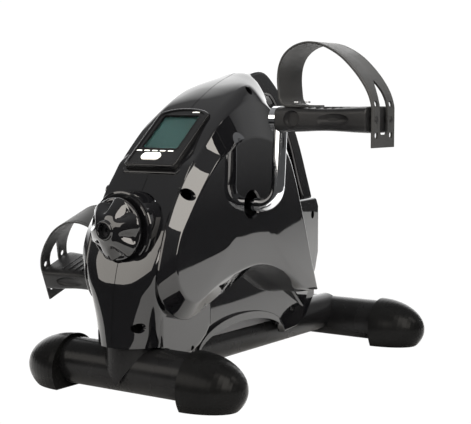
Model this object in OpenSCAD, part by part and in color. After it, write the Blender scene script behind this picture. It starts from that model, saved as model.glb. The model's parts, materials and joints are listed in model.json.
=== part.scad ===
// Pedal exerciser: a two-bar floor stand, a glossy split shell, a one-piece
// crank with two strapped pedals, a belt-driven flywheel with a magnetic
// brake, a tension knob and a small display console.
// Millimetres. +X is the user's right, -Y faces the user, +Z is up.

/* [Stand] */
// Distance between the front and rear stabiliser axes
bar_spacing = 380; // [370:5:400]
// Outside diameter of a stabiliser tube
bar_d = 48; // [46:1:48]
// Height of a stabiliser axis above the floor
bar_z = 27; // [27:1:27]
// Distance from the centre plane to the open rim of an end cap
cap_rim_x = 78; // [74:1:90]
// Length of an end cap from rim to nose
cap_len = 56; // [50:1:60]

/* [Drive] */
// Height of the crank axis
crank_z = 186; // [184:1:188]
// Distance from the crank axis to a pedal axis
crank_len = 89; // [84:1:92]
// Diameter of the bent crank rod
rod_d = 14; // [14:1:14]
// Lean of the right crank arm away from the user, from the vertical
crank_lean = 4.5; // [0:0.5:8]
// Outside radius of the belt pulley on the crank
drive_r = 50; // [46:1:51]
// Radius of the flywheel
flywheel_r = 52; // [46:1:52]
// Thickness of the flywheel rim
flywheel_t = 18; // [14:1:18]

/* [Pedals] */
// Length of a pedal along its axis
pedal_len = 104; // [96:1:106]
// Width of a pedal across its ends
pedal_w = 56; // [50:1:58]
// Thickness of a pedal
pedal_t = 26; // [24:1:28]
// Tilt of the left pedal, far edge up
left_tilt = 20; // [0:1:24]
// Width of the foot strap
strap_w = 46; // [40:1:48]

/* [Shell] */
// Half width of the side panels
panel_x = 60; // [58:1:61]
// Wall thickness of the shell
wall = 3; // [2.6:0.2:3.2]
// Half width of the carrying handle
handle_x = 18; // [16:1:20]

/* [Console] */
// Width of the display unit
console_w = 64; // [60:1:66]
// Length of the display unit up the slope
console_l = 90; // [88:1:92]
// Slope of the display unit from the horizontal
console_a = 40; // [39:1:41]

/* [Hidden] */

$fn = 48;
e = 0.1;                     // overrun of a cutter past a face
front_y = -185;              // front stabiliser axis
rear_y = front_y + bar_spacing;
bar_r = bar_d / 2;
bar_wall = 2;
bar_end_x = cap_rim_x + 18;  // the tube ends inside its caps
cap_r = 34.5;
cap_axis_z = 20;             // centre of the cap's round section
cap_wall = 3.5;
spine_r = 21;
spine_z = 33;
post_r = 17;
saddle_r = 28;
post_top = 134;
crank_y = -64;
rod_r = rod_d / 2;
arm_x = 92;                  // middle plane of a crank arm
bend_r = 20;                 // bend of the crank rod, at its middle line
pedal_x = 101;               // inner end of a pedal
eye_r = 13;                  // round eye at the end of a crank arm
spindle_r = 5;
fly_y = 32;
fly_z = 124;
fly_pulley_r = 12;
axle_r = 6;
belt_x = 31;                 // belt plane, near face
belt_w = 8;
belt_t = 3;
belt_gap = 0.5;
idler_r = 10;
plate_x = 15;
plate_t = 3;
brake_r = 54.5;              // inside of the brake bracket's web
brake_pin_at = [-26, 97];    // y and z of the bracket's pivot
knob_z = 169;
knob_front = -229.5;         // front face of the tension knob
knob_rim = -210;             // widest ring of the tension knob
boss_front = -203.5;         // front edge of the collar behind the knob
// Through screws of the shell: y, z, the reach of their bosses from the centre plane and
// the radius of the hole over their heads.
screw_at = [[-163, 202, 49.6, 6], [-30, 293, 38.6, 4.4], [-208.2, 74, 29, 5], [116, 160, 29.2, 4.6]];
side_screw = [67, 55];       // y and z of the screw from each shell half into the frame
console_at = [-156, 223];    // y and z of the display unit's lower back edge
console_depth = 14;

black = [0.05, 0.05, 0.055];
steel = [0.62, 0.63, 0.65];

// ---- helpers ---------------------------------------------------------------

// Points of an arc in a plane, from angle a to angle b in n steps.
function arc(c, r, a, b, n) = [for (i = [0:n]) c + r * [cos(a + (b - a) * i / n), sin(a + (b - a) * i / n)]];

function unit(v) = v / norm(v);
function left_of(v) = [-v[1], v[0]];

// Moves every corner of a closed outline inwards by d; the outline runs clockwise.
function inset(p, d) = let (n = len(p)) [for (i = [0:n - 1])
    let (a = unit(p[i] - p[(i + n - 1) % n]), b = unit(p[(i + 1) % n] - p[i]),
         m = unit(left_of(a) + left_of(b)))
    p[i] - m * d / max(0.5, m * left_of(b))];

// A solid drawn in the YZ plane and spanning x0 to x1.
module slab(x0, x1) translate([x0, 0, 0]) rotate([90, 0, 90]) linear_extrude(x1 - x0) children();

// A cylinder along X at height z and depth y.
module xrod(r, x0, x1, y = 0, z = 0, n = 48)
    translate([x0, y, z]) rotate([0, 90, 0]) cylinder(r = r, h = x1 - x0, $fn = n);

// A cylinder along Y.
module yrod(r, y0, y1, x = 0, z = 0, n = 48)
    translate([x, y1, z]) rotate([90, 0, 0]) cylinder(r = r, h = y1 - y0, $fn = n);

module both() {
    children();
    mirror([1, 0, 0]) children();
}

// Runs a ring of k sides along the points p as one closed tube of radius r.
module sweep(p, r, k = 8) {
    n = len(p);
    tangent = [for (i = [0:n - 1]) unit(p[min(i + 1, n - 1)] - p[max(i - 1, 0)])];
    side = [for (t = tangent) unit(cross(t, abs(t[0]) > 0.9 ? [0, 0, 1] : [1, 0, 0]))];
    pts = [for (i = [0:n - 1]) for (j = [0:k - 1])
        p[i] + r * (cos(360 * j / k) * side[i] + sin(360 * j / k) * cross(tangent[i], side[i]))];
    walls = [for (i = [0:n - 2]) for (j = [0:k - 1])
        [i * k + j, i * k + (j + 1) % k, (i + 1) * k + (j + 1) % k, (i + 1) * k + j]];
    ends = [[for (j = [k - 1:-1:0]) j], [for (j = [0:k - 1]) (n - 1) * k + j]];
    polyhedron(pts, concat([for (w = walls) [w[3], w[2], w[1], w[0]]],
        [for (c = ends) [for (i = [len(c) - 1:-1:0]) c[i]]]), convexity = 6);
}

// Cubic curve through four control points, in n steps.
function bezier(a, b, c, d, n) = [for (i = [0:n]) let (t = i / n, u = 1 - t)
    u * u * u * a + 3 * u * u * t * b + 3 * u * t * t * c + t * t * t * d];

// ---- stand -----------------------------------------------------------------

module stabiliser(y) color([0.08, 0.08, 0.085]) difference() {
    xrod(bar_r, -bar_end_x, bar_end_x, y, bar_z, 96);
    xrod(bar_r - bar_wall, -bar_end_x - e, bar_end_x + e, y, bar_z, 96);
    if (y > 0) for (x = bolt_x) yrod(bolt_r + 0.3, y - 40, y + 40, x, bolt_z);
    both() translate([cap_rim_x + 9, y, -e]) cylinder(r = 2.3, h = 12, $fn = 24);
}

bolt_x = [-11, 11];
bolt_z = 30;
bolt_r = 4;

// Dome-ended foot: an elliptical nose turned about X, cut flat by the floor.
module cap(y) {
    nose = [for (i = [0:14]) [cap_r * cos(90 * i / 14), cap_len * sin(90 * i / 14)]];
    room = [for (i = [0:14]) [(cap_r - cap_wall) * cos(90 * i / 14), (cap_len - 4) * sin(90 * i / 14)]];
    color(black) difference() {
        translate([cap_rim_x, y, cap_axis_z]) rotate([0, 90, 0])
            rotate_extrude($fn = 96) polygon(concat([[0, 0]], nose));
        intersection() {
            translate([cap_rim_x, y, cap_axis_z]) rotate([0, 90, 0])
                rotate_extrude($fn = 96) polygon(concat([[0, -1], [cap_r - cap_wall, -1]], room));
            translate([cap_rim_x + 14, y - 40, bar_z - bar_r]) cube([cap_len + 1, 80, 60]);
        }
        xrod(bar_r, cap_rim_x - e, bar_end_x, y, bar_z, 96);
        translate([cap_rim_x - 1, y - 40, -40]) cube([cap_len + 2, 80, 40]);
        translate([cap_rim_x + 9, y, -e]) cylinder(r = 4.4, h = 2.1, $fn = 32);
        translate([cap_rim_x + 9, y, -e]) cylinder(r = 2.3, h = 6, $fn = 24);
    }
}

module cap_screws() color(steel) for (y = [front_y, rear_y]) both() translate([cap_rim_x + 9, y, 0]) {
    translate([0, 0, 0.4]) cylinder(r = 4, h = 1.6, $fn = 32);
    translate([0, 0, 1.9]) cylinder(r = 2.1, h = 8, $fn = 24);
}

module spine_tube() color([0.08, 0.08, 0.085]) difference() {
    union() {
        difference() {
            yrod(spine_r, front_y, rear_y, 0, spine_z, 96);
            yrod(spine_r - 2, front_y - 1, rear_y + 1, 0, spine_z, 96);
        }
        yrod(spine_r - 1, rear_y - 32, rear_y - 28, 0, spine_z, 96);
    }
    for (y = [front_y, rear_y]) xrod(bar_r + 0.1, -60, 60, y, bar_z, 96);
    translate([0, front_y, 0]) cylinder(r = saddle_r + 0.2, h = 90, $fn = 96);
    for (x = bolt_x) yrod(bolt_r + 0.3, rear_y - 40, rear_y, x, bolt_z);
}

// Carriage bolts with their nuts: they hold the rear stabiliser on the spine.
module rear_bolts() color(steel) for (x = bolt_x) {
    yrod(bolt_r, rear_y - 38, rear_y + bar_r, x, bolt_z);
    yrod(8, rear_y + bar_r, rear_y + bar_r + 2.5, x, bolt_z);
    yrod(6.6, rear_y - 37, rear_y - 32, x, bolt_z, 6);
}

// Round post on the front stabiliser, with a V-shaped saddle over its face.
module front_post() color([0.08, 0.08, 0.085]) difference() {
    union() {
        translate([0, front_y, bar_z]) cylinder(r = post_r, h = post_top - bar_z, $fn = 72);
        intersection() {
            translate([0, front_y, 12]) cylinder(r = saddle_r, h = 40, $fn = 96);
            translate([0, front_y, 0]) rotate([90, 0, 0]) translate([0, 0, -40])
                linear_extrude(80)
                    polygon([[0, 14], [saddle_r, 50], [saddle_r, 53], [-saddle_r, 53], [-saddle_r, 50]]);
        }
    }
    translate([0, front_y, 10]) cylinder(r = post_r - 2, h = post_top, $fn = 72);
    xrod(bar_r + 0.1, -60, 60, front_y, bar_z, 96);
}

// Frame plate: feet on the spine, a lobe round the crank housing and one round the flywheel axle.
function plate_outline() = concat(
    [[-108, 40], [-104, 120]], arc([crank_y, crank_z], 27, 190, 40, 10), arc(idler_at, 9, 70, 0, 4),
    arc([fly_y, fly_z], 22, 35, -10, 4), [[80, 80], [80, 58], [66, 40]]);

module plate() {
    color([0.3, 0.3, 0.31]) difference() {
        slab(plate_x, plate_x + plate_t) polygon(plate_outline());
        yrod(spine_r + 0.1, -130, 120, 0, spine_z, 96);
        slab(plate_x - e, plate_x + plate_t + e) polygon([[-88, 64], [-80, 138], [-52, 138], [-44, 64]]);
        slab(plate_x - e, plate_x + plate_t + e) polygon([[-36, 168], [-22, 190], [2, 178], [-6, 156]]);
        xrod(1.9, 0, 40, side_screw[0], side_screw[1]);
        xrod(19.05, 0, 40, crank_y, crank_z, 96);
        xrod(14.05, 0, 40, fly_y, fly_z, 96);
        xrod(3, 0, 40, brake_pin_at[0], brake_pin_at[1]);
        xrod(4, 0, 40, idler_at[0], idler_at[1]);
    }
}

module crank_housing() color([0.3, 0.3, 0.31]) difference() {
    xrod(19, -27, 27, crank_y, crank_z, 96);
    xrod(16, -28, 28, crank_y, crank_z, 96);
}

module bearing(x, r_in, r_out, w, y, z) difference() {
    xrod(r_out, x, x + w, y, z, 72);
    xrod(r_in, x - e, x + w + e, y, z, 96);
    for (s = [-e, w - 0.8]) difference() {
        xrod(r_out - 2.2, x + s, x + s + 0.8 + e, y, z, 72);
        xrod(r_in + 2, x + s - e, x + s + 1, y, z, 72);
    }
}

module crank_bearings() color(steel) both() bearing(17, rod_r + 0.05, 15.95, 10, crank_y, crank_z);
module flywheel_bearings() color(steel) both() bearing(12.5, axle_r + 0.05, 14, 8, fly_y, fly_z);

// ---- crank and pedals ------------------------------------------------------

module at_crank() translate([0, crank_y, crank_z]) rotate([-crank_lean, 0, 0]) children();

// One arm: out along X, a quarter bend, then along the arm to a round eye.
module crank_arm() {
    xrod(rod_r, 0, arm_x - bend_r, 0, 0, 72);
    translate([arm_x - bend_r, 0, bend_r]) rotate([-90, 0, 0])
        rotate_extrude(angle = 90, $fn = 96) translate([bend_r, 0]) circle(r = rod_r, $fn = 48);
    translate([arm_x, 0, bend_r]) cylinder(r = rod_r, h = crank_len - bend_r - 6, $fn = 72);
    difference() {
        xrod(eye_r, arm_x - rod_r, arm_x + rod_r, 0, crank_len, 72);
        xrod(spindle_r + 0.02, arm_x - 20, arm_x + 20, 0, crank_len, 72);
        translate([arm_x - 20, -20, crank_len - 40]) cube([40, 40, 20]);
    }
}

module crank_half() difference() {
    crank_arm();
    xrod(spindle_r + 0.02, arm_x - 20, arm_x + 20, 0, crank_len, 72);
}

module crank() color([0.75, 0.76, 0.78]) at_crank() {
    crank_half();
    mirror([1, 0, 0]) mirror([0, 0, 1]) crank_half();
}

// Pedal axes at rest, as y and z.
right_at = [crank_y + crank_len * sin(crank_lean), crank_z + crank_len * cos(crank_lean)];
left_at = [crank_y - crank_len * sin(crank_lean), crank_z - crank_len * cos(crank_lean)];

module at_right() translate([0, right_at[0], right_at[1]]) children();
module at_left()
    translate([0, left_at[0], left_at[1]]) rotate([left_tilt, 0, 0]) mirror([1, 0, 0]) children();

// A pedal lies along +X with its tread up; its waist is narrower than its ends.
function waist(x) = let (t = (x - pedal_x) / pedal_len) 1 - 0.16 * sin(180 * t) * sin(180 * t);

module pedal() {
    n = 12;
    outline = concat(
        [for (i = [0:n]) let (x = pedal_x + pedal_len * i / n) [x, pedal_w / 2 * waist(x)]],
        [for (i = [n:-1:0]) let (x = pedal_x + pedal_len * i / n) [x, -pedal_w / 2 * waist(x)]]);
    color(black) difference() {
        union() {
            translate([0, 0, -pedal_t / 2]) linear_extrude(pedal_t) polygon(outline);
            for (y = [-15, 15]) xrod(3, pedal_x + pedal_len - e, pedal_x + pedal_len + 5.5, y, 0, 32);
        }
        xrod(8, pedal_x - e, pedal_x + pedal_len - 8, 0, 0, 72);
        for (s = [-1, 1]) translate([pedal_x + 8, s * 19 - 5, -pedal_t / 2 - e])
            cube([pedal_len - 18, 10, pedal_t - 3]);
    }
    color(black) for (i = [0:7])
        translate([pedal_x + 16 + i * 10, -18, pedal_t / 2]) cube([2.5, 36, 1]);
}

// Steel spindle: threaded into the crank eye, running in the pedal's two bushes.
module spindle() color(steel) {
    xrod(spindle_r, arm_x - rod_r, pedal_x + pedal_len - 14, 0, 0, 72);
    xrod(7.5, pedal_x - 1.9, pedal_x - 0.4, 0, 0, 6);
}

module bushes() color([0.85, 0.83, 0.78]) for (x = [pedal_x + 1, pedal_x + pedal_len - 26]) difference() {
    xrod(7.98, x, x + 10, 0, 0, 72);
    xrod(spindle_r + 0.05, x - e, x + 10 + e, 0, 0, 72);
}

// Inner run of the strap, from the tread at the crank side over the foot and down the end.
strap_path = [[108, 14.2], [104.6, 26], [103.2, 40], [104.6, 52], [109.5, 62], [117.5, 69], [127, 73],
    [138, 74.4], [150, 72.5], [162, 67.5], [174, 60], [185, 50], [195, 38.5], [203, 26], [207.4, 14],
    [207.6, 6], [207.6, -27]];
strap_t = 2.2;

module ribbon(path, t) {
    n = len(path);
    nrm = [for (i = [0:n - 1]) left_of(unit(path[min(i + 1, n - 1)] - path[max(i - 1, 0)]))];
    rotate([90, 0, 0]) translate([0, 0, -strap_w / 2]) linear_extrude(strap_w)
        polygon(concat(path, [for (i = [n - 1:-1:0]) path[i] + nrm[i] * t]));
}

module strap() color([0.07, 0.07, 0.07]) difference() {
    union() {
        ribbon(strap_path, strap_t);
        translate([105, -strap_w / 2, 14.05]) cube([24, strap_w, strap_t]);
    }
    // the long slot with its pointed top, and two rows of peg holes
    slab(186, 220) polygon([[-8, -11], [-5.5, -14.5], [5.5, -14.5], [8, -11], [8, 18], [6.6, 26], [3.8, 33],
        [0, 38.5], [-3.8, 33], [-6.6, 26], [-8, 18]]);
    for (z = [-15, 0, 15], y = [-15, 15]) xrod(3.3, 195, 220, y, z, 32);
}

module pedal_screws() color(steel) for (y = [-10, 10])
    translate([117, y, 16.3]) cylinder(r = 3.6, h = 1.6, $fn = 32);

// ---- belt drive and brake --------------------------------------------------

drive_c = [crank_y, crank_z];
fly_c = [fly_y, fly_z];
centre_gap = norm(fly_c - drive_c);
centre_dir = atan2(fly_c[1] - drive_c[1], fly_c[0] - drive_c[0]);

// The loop round both pulleys, at distance d outside their faces.
function belt_loop(d) = let (r1 = drive_r + d, r2 = fly_pulley_r + d, a = acos((r1 - r2) / centre_gap))
    concat(arc(drive_c, r1, centre_dir + 360 - a, centre_dir + a, 40),
           arc(fly_c, r2, centre_dir + a, centre_dir - a, 20));

// The idler presses on the back of the belt's upper run.
idler_side = centre_dir + acos((drive_r - fly_pulley_r) / centre_gap);
idler_at = let (n = [cos(idler_side), sin(idler_side)],
    p = drive_c + n * drive_r, q = fly_c + n * fly_pulley_r)
    p * 0.56 + q * 0.44 + n * (belt_gap + belt_t + idler_r + 0.2);

module drive_pulley() color([0.16, 0.16, 0.17]) difference() {
    union() {
        at_drive() xrod(drive_r, belt_x, belt_x + belt_w, 0, 0, 128);
        at_drive() xrod(14, belt_x - 2.5, belt_x + belt_w + 2, 0, 0, 72);
    }
    at_drive() xrod(rod_r, 0, 60, 0, 0, 96);
    at_drive() for (s = [-1, 1]) difference() {
        xrod(drive_r - 7, belt_x + belt_w / 2 + s * 6.5 - 4, belt_x + belt_w / 2 + s * 6.5 + 4, 0, 0, 96);
        xrod(18, 0, 60, 0, 0, 72);
    }
    at_drive() for (a = [0:60:300]) rotate([a + 50, 0, 0]) xrod(8, 0, 60, 0, 31, 36);
}
module at_drive() translate([0, crank_y, crank_z]) children();

module pulley_magnet() color(steel) at_drive()
    rotate([20, 0, 0]) xrod(4, belt_x - 1, belt_x + 1.5, 0, 36, 36);

module drive_belt() color([0.1, 0.1, 0.1]) difference() {
    slab(belt_x, belt_x + belt_w) polygon(belt_loop(belt_gap + belt_t));
    slab(belt_x - e, belt_x + belt_w + e) polygon(belt_loop(belt_gap));
}

module at_fly() translate([0, fly_y, fly_z]) children();

module flywheel() color([0.7, 0.7, 0.71]) at_fly() difference() {
    union() {
        difference() {
            xrod(flywheel_r, -flywheel_t / 2, flywheel_t / 2, 0, 0, 128);
            for (s = [-1, 1])
                xrod(flywheel_r - 14, s * flywheel_t / 2 - 5, s * flywheel_t / 2 + 5, 0, 0, 96);
        }
        xrod(12, -10.5, 10.5, 0, 0, 72);
    }
    xrod(axle_r, -30, 30, 0, 0, 96);
}

module flywheel_axle() color(steel) at_fly() xrod(axle_r, -28, 44, 0, 0, 96);
module flywheel_pulley() color([0.7, 0.7, 0.71]) at_fly() difference() {
    xrod(fly_pulley_r, belt_x - 1, belt_x + belt_w + 1, 0, 0, 96);
    xrod(axle_r, 0, 60, 0, 0, 96);
}
module axle_nuts() color(steel) at_fly() for (x = [-27, 40.2]) difference() {
    xrod(9, x, x + 3.6, 0, 0, 6);
    xrod(axle_r, x - e, x + 4, 0, 0, 96);
}

module idler_roller() color([0.85, 0.83, 0.78]) difference() {
    xrod(idler_r, belt_x - 0.5, belt_x + belt_w + 0.5, idler_at[0], idler_at[1], 72);
    xrod(4.05, 0, 60, idler_at[0], idler_at[1], 72);
}
module idler_bolt() color(steel) {
    xrod(4, plate_x - 2, belt_x + belt_w + 3, idler_at[0], idler_at[1], 72);
    xrod(7, belt_x + belt_w + 1, belt_x + belt_w + 4.5, idler_at[0], idler_at[1], 6);
}

// Arc-shaped U over the flywheel rim, hung on a pin between the frame plates.
brake_from = 112;
brake_to = 192;
module brake_bracket() color([0.55, 0.56, 0.58]) difference() {
    union() {
        difference() {
            slab(-13.6, 13.6) polygon(concat(arc(fly_c, brake_r + 2, brake_from, brake_to, 20),
                arc(fly_c, brake_r - 20, brake_to, brake_from, 20)));
            slab(-12.1, 12.1) polygon(concat(arc(fly_c, brake_r, brake_from - 2, brake_to + 2, 20),
                arc(fly_c, brake_r - 22, brake_to + 2, brake_from - 2, 20)));
        }
        slab(-13.6, 13.6) polygon(concat(arc(brake_pin_at, 7, 120, 320, 12),
            arc(fly_c, brake_r + 1.9, brake_to + 4, brake_to - 12, 6)));
    }
    xrod(3.05, -20, 20, brake_pin_at[0], brake_pin_at[1], 48);
}
module brake_magnets() color([0.2, 0.2, 0.22]) at_fly() for (a = [122:19:179])
    rotate([a, 0, 0]) both() xrod(7, 10.2, 12.1, brake_r - 10, 0, 36);
module brake_pin() color(steel) xrod(3, -19.5, 19.5, brake_pin_at[0], brake_pin_at[1], 48);

// Return spring, from the bracket's web towards the crank housing.
spring_y = -22;
spring_z = 150;
spring_len = 24;
module brake_spring() color(steel) sweep([for (i = [0:84]) let (a = 360 * i / 12)
    [4.2 * cos(a), spring_y - spring_len * i / 84, spring_z + 4.2 * sin(a)]], 0.7, 6);

// Post across the frame plates that the spring pushes against.
module spring_post() color(steel) xrod(4, -plate_x, plate_x, spring_y - spring_len - 5, spring_z);

cable_path = bezier([0, -176, 169], [0, -128, 169], [0, -120, 246], [0, -50, 240], 12);
cable_tail = bezier([0, -50, 240], [0, -10, 236], [0, 6, 206], [0, 11.5, 178], 8);
module brake_cable() color([0.1, 0.1, 0.1])
    sweep(concat(cable_path, [for (i = [1:8]) cable_tail[i]]), 2.2, 8);

// ---- tension knob ----------------------------------------------------------

knob_r = 31.5;
function knob_profile() = [[0, knob_rim + 2.6], [knob_r - 3, knob_rim + 2.6], [knob_r, knob_rim + 0.6],
    [knob_r, knob_rim - 1.6], [29.6, knob_rim - 3.9], [25.5, knob_rim - 7.5], [20.5, knob_rim - 11.3],
    [15.4, knob_rim - 14.3], [10.8, knob_rim - 16.2], [9.8, knob_rim - 16.8], [9.6, knob_front],
    [0, knob_front]];

module turned_y(profile) translate([0, 0, knob_z]) rotate([90, 0, 0]) rotate_extrude($fn = 96)
    polygon([for (p = profile) [p[0], -p[1]]]);

module tension_knob() color(black) difference() {
    turned_y(knob_profile());
    for (a = [30:60:330]) translate([0, 0, knob_z]) rotate([0, a, 0])
        translate([39.5, knob_rim + 2, 0]) rotate([90, 0, -26]) cylinder(r = 11, h = 44, $fn = 48);
    yrod(6.1, knob_front - e, knob_front + 9, 0, knob_z);
    yrod(4.02, knob_front, knob_rim + 5, 0, knob_z);
}
module knob_screw() color([0.12, 0.12, 0.12]) difference() {
    yrod(6, knob_front + 6, knob_front + 9, 0, knob_z);
    yrod(2.5, knob_front + 5, knob_front + 8, 0, knob_z, 6);
}
module tension_spindle() color(steel) yrod(4, knob_front + 9, -178, 0, knob_z, 72);

// Bush block on the post that the spindle screws through.
module spindle_bracket() color([0.3, 0.3, 0.31]) difference() {
    union() {
        translate([-12, -191, post_top]) cube([24, 13, knob_z + 11 - post_top]);
        translate([-12, -191, post_top]) cube([24, 25, 3]);
    }
    yrod(4.05, -200, -170, 0, knob_z, 72);
}

// ---- shell -----------------------------------------------------------------

// Joins rings of equal point count into one closed solid.
module loft(rings) {
    n = len(rings[0]);
    m = len(rings);
    walls = [for (k = [0:m - 2], i = [0:n - 1], h = [0, 1]) let (j = (i + 1) % n, a = k * n, b = a + n)
        h == 0 ? [a + i, a + j, b + j] : [a + i, b + j, b + i]];
    ends = [[for (i = [n - 1:-1:0]) i], [for (i = [0:n - 1]) (m - 1) * n + i]];
    polyhedron([for (r = rings) each r], concat(walls, ends), convexity = 10);
}

// Side ring at x: an outline in the YZ plane, moved inwards by d.
function side_ring(x, outline, d) = [for (p = inset(outline, d)) [x, p[0], p[1]]];

// Mixes two outlines of equal length.
function mix(a, b, t) = [for (i = [0:len(a) - 1]) a[i] * (1 - t) + b[i] * t];

// Outlines of the body seen from the side, clockwise from the bottom of the front lobe.
panel = [[-156, 96], [-169, 98], [-181, 107], [-189, 121], [-191, 142], [-187, 157], [-180, 169],
    [-141, 215], [-116, 236], [-88, 250], [-60, 256], [-32, 253], [-8, 245], [8, 234], [18, 222],
    [33, 190], [55, 132], [75, 79], [46, 83], [26, 95], [5, 107], [-18, 116], [-43, 121], [-66, 121],
    [-103, 115], [-126, 108]];
band = [[-150, 77], [-171, 80], [-190, 92], [-201, 107], [-204, 124], [-199, 147], [-189, 174], [-161, 215],
    [-131, 246], [-98, 273], [-64, 289], [-32, 292], [-4, 284], [12, 266], [21, 244], [35, 193], [57, 132],
    [77, 77], [46, 79], [26, 91], [5, 103], [-18, 112], [-43, 116], [-62, 108], [-92, 97], [-120, 87]];
shoulder = [[-150, 77], [-170, 80], [-186, 92], [-196, 107], [-200, 124], [-195, 147], [-185, 174],
    [-158, 215], [-136, 240], [-100, 276], [-62, 299], [-30, 305], [0, 294], [14, 274], [21, 248],
    [35, 193], [57, 132], [77, 77], [46, 79], [26, 91], [5, 103], [-18, 112], [-43, 116], [-62, 108],
    [-92, 97], [-120, 87]];
crest = [[-150, 77], [-168, 80], [-184, 92], [-193, 107], [-197, 124], [-192, 147], [-182, 174], [-156, 213],
    [-137, 236], [-84, 286], [-53, 305], [-20, 317], [6, 319], [17, 286], [22, 250], [35, 193], [57, 132],
    [77, 77], [46, 79], [26, 91], [5, 103], [-18, 112], [-43, 116], [-62, 108], [-92, 97], [-120, 87]];

module body(d) {
    xe = panel_x - (d > 0 ? wall : 0);
    s = (d > 0 ? wall * 0.7 : 0);
    loft([side_ring(-1, crest, d), side_ring(0, crest, d), side_ring(18, mix(shoulder, crest, 0.8), d),
        side_ring(35 - s, shoulder, d), side_ring(panel_x - 14 - s, band, d),
        side_ring(panel_x - 7 - s, mix(panel, band, 0.62), d), side_ring(xe - 1.6, panel, d),
        side_ring(xe, panel, d + 1.6)]);
}

// Ring of the neck at height z: half width w, front y f, squareness q from round (2) to boxy (6).
function neck_ring(z, w, f, q, d) = let (back = -128)
    concat([[0, back, z]], [[w - d, back, z]], [for (i = [0:10]) let (a = 90 * i / 10,
        c = pow(cos(a), 2 / q), v = pow(sin(a), 2 / q)) [(w - d) * c, -184 - (-184 - f - d) * v, z]]);

module neck(d) loft([for (r = [[d > 0 ? 40 : 53, 35, -219, 2], [76, 37, -217.5, 2.2], [100, 41, -216, 2.8],
    [125, 45.4, -213, 4], [135.5, 46, -206.8, 4.6], [d > 0 ? 166 : 175, 46, d > 0 ? -193.8 : -188, 12]])
    neck_ring(r[0], r[1], r[2], r[3], d)]);

// Front wall between the neck and the display, sloping back.
front_plate = [[-128, 130], [-209, 130], [-206, 139], [-187, 175], [-152, 228], [-136, 240], [-120, 240]];

// Lower side walls: a broad one behind the neck and a recessed one with an arched foot.
low_arch = [for (i = [0:16]) let (a = 180 * i / 16) [-39 - 82 * cos(a), 31 + 26 * sin(a)]];
low_front = [[-184, 100], [-184, 53], [-156, 53], [-152, 35], [-124, 33], [-112, 44], [-101, 58],
    [-101, 104]];
low_rear = concat([[-128, 140], [-128, 33]], low_arch, [[72, 34], [90, 52], [90, 150]]);
arch_rim = concat([for (i = [0:16]) let (a = 180 * i / 16) [-39 - 84 * cos(a), 33 + 33 * sin(a)]],
    [for (i = [16:-1:0]) low_arch[i]]);
rear_box = [[12, 180], [130, 180], [137, 170], [137, 114], [128, 93], [104, 66], [90, 52], [40, 90]];
handle = [[-14, 316], [13, 326], [28, 325], [46, 314], [62, 299], [96, 254], [124, 196], [132, 178],
    [110, 177], [101, 196], [79, 246], [52, 287], [36, 302], [8, 303]];

module shell_solid(d) {
    body(d);
    neck(d);
    slab(0, 46 - d) polygon(inset(front_plate, d));
    slab(0, 38 - d) polygon(inset(reversed(low_front), d));
    slab(0, 29 - d) polygon(inset(reversed(low_rear), d));
    slab(0, 30 - d) polygon(inset(rear_box, d));
}

function reversed(p) = [for (i = [len(p) - 1:-1:0]) p[i]];

module boss_tube(p) xrod(6, 0, p[2] - 1.4, p[0], p[1], 16);

// One half of the shell, drawn on the +X side.
module shell_half(side) color([0.02, 0.02, 0.022]) difference() {
    union() {
        difference() {
            union() {
                shell_solid(0);
                slab(0, handle_x) polygon(handle);
                slab(26, 33) polygon(arch_rim);
                yrod(37, boss_front, -175, 0, knob_z, 64);
                at_console() translate([0, 0, -8]) linear_extrude(9.5) polygon(case_outline(-3.6));
            }
            shell_solid(wall);
            yrod(37 - wall, boss_front + wall, -160, 0, knob_z, 40);
            console_pocket();
        }
        for (p = screw_at) boss_tube(p);
        xrod(5, plate_x + plate_t + 0.2, 27, side_screw[0], side_screw[1], 16);
    }
    translate([-100, -300, 0]) cube([100, 600, 400]);
    for (p = screw_at) {
        xrod(2.1, -e, side > 0 ? 70 : p[2] - 5, p[0], p[1], 16);
        if (side > 0) xrod(p[3], 12, 70, p[0], p[1], 20);
    }
    xrod(2.1, 0, 40, side_screw[0], side_screw[1], 16);
    xrod(4.6, 24, 40, side_screw[0], side_screw[1], 20);
    xrod(15, 40, 70, crank_y, crank_z, 40);
    yrod(6, -240, -180, 0, knob_z, 24);
    translate([-1, -228, 0]) cube([90, 72, 53]);
    translate([-1, -157, 20]) cube([27, 228, 19]);
    translate([-1, -122, 20]) cube([27, 170, 42]);
    yrod(spine_r + 1, -160, 120, 0, spine_z, 40);
    translate([0, front_y, 0]) cylinder(r = saddle_r + 0.5, h = 57, $fn = 40);
}

module right_shell() shell_half(1);
module left_shell() mirror([1, 0, 0]) shell_half(-1);

module shell_screws() color([0.12, 0.12, 0.12]) for (p = screw_at) difference() {
    union() {
        xrod(1.9, -14, 12.1, p[0], p[1], 24);
        xrod(4, 12.05, 14, p[0], p[1], 32);
    }
    xrod(1.6, 13, 15, p[0], p[1], 6);
}
module side_screws() color(steel) both() difference() {
    union() {
        xrod(1.9, 13, 24.1, side_screw[0], side_screw[1], 24);
        xrod(4, 24.05, 26, side_screw[0], side_screw[1], 32);
    }
    xrod(1.6, 25, 27, side_screw[0], side_screw[1], 6);
}

// ---- console ---------------------------------------------------------------

// Local frame: +Y up the slope, +Z out of the display face.
module at_console() translate([0, console_at[0], console_at[1]]) rotate([console_a, 0, 0]) children();

// Case outline: straight sides and a bowed top edge.
function case_outline(s) = let (w = console_w / 2 - s, l = console_l - s)
    concat([[-w + 3, s], [w - 3, s], [w, s + 3], [w, l - 12]],
    [for (i = [1:9]) let (t = i / 10) [w * cos(180 * t), l - 12 + 11 * sin(180 * t)]],
    [[-w, l - 12], [-w, s + 3]]);

module console_pocket() at_console() translate([0, 0, -console_depth - 0.3])
    linear_extrude(60) polygon(case_outline(-0.4));

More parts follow.
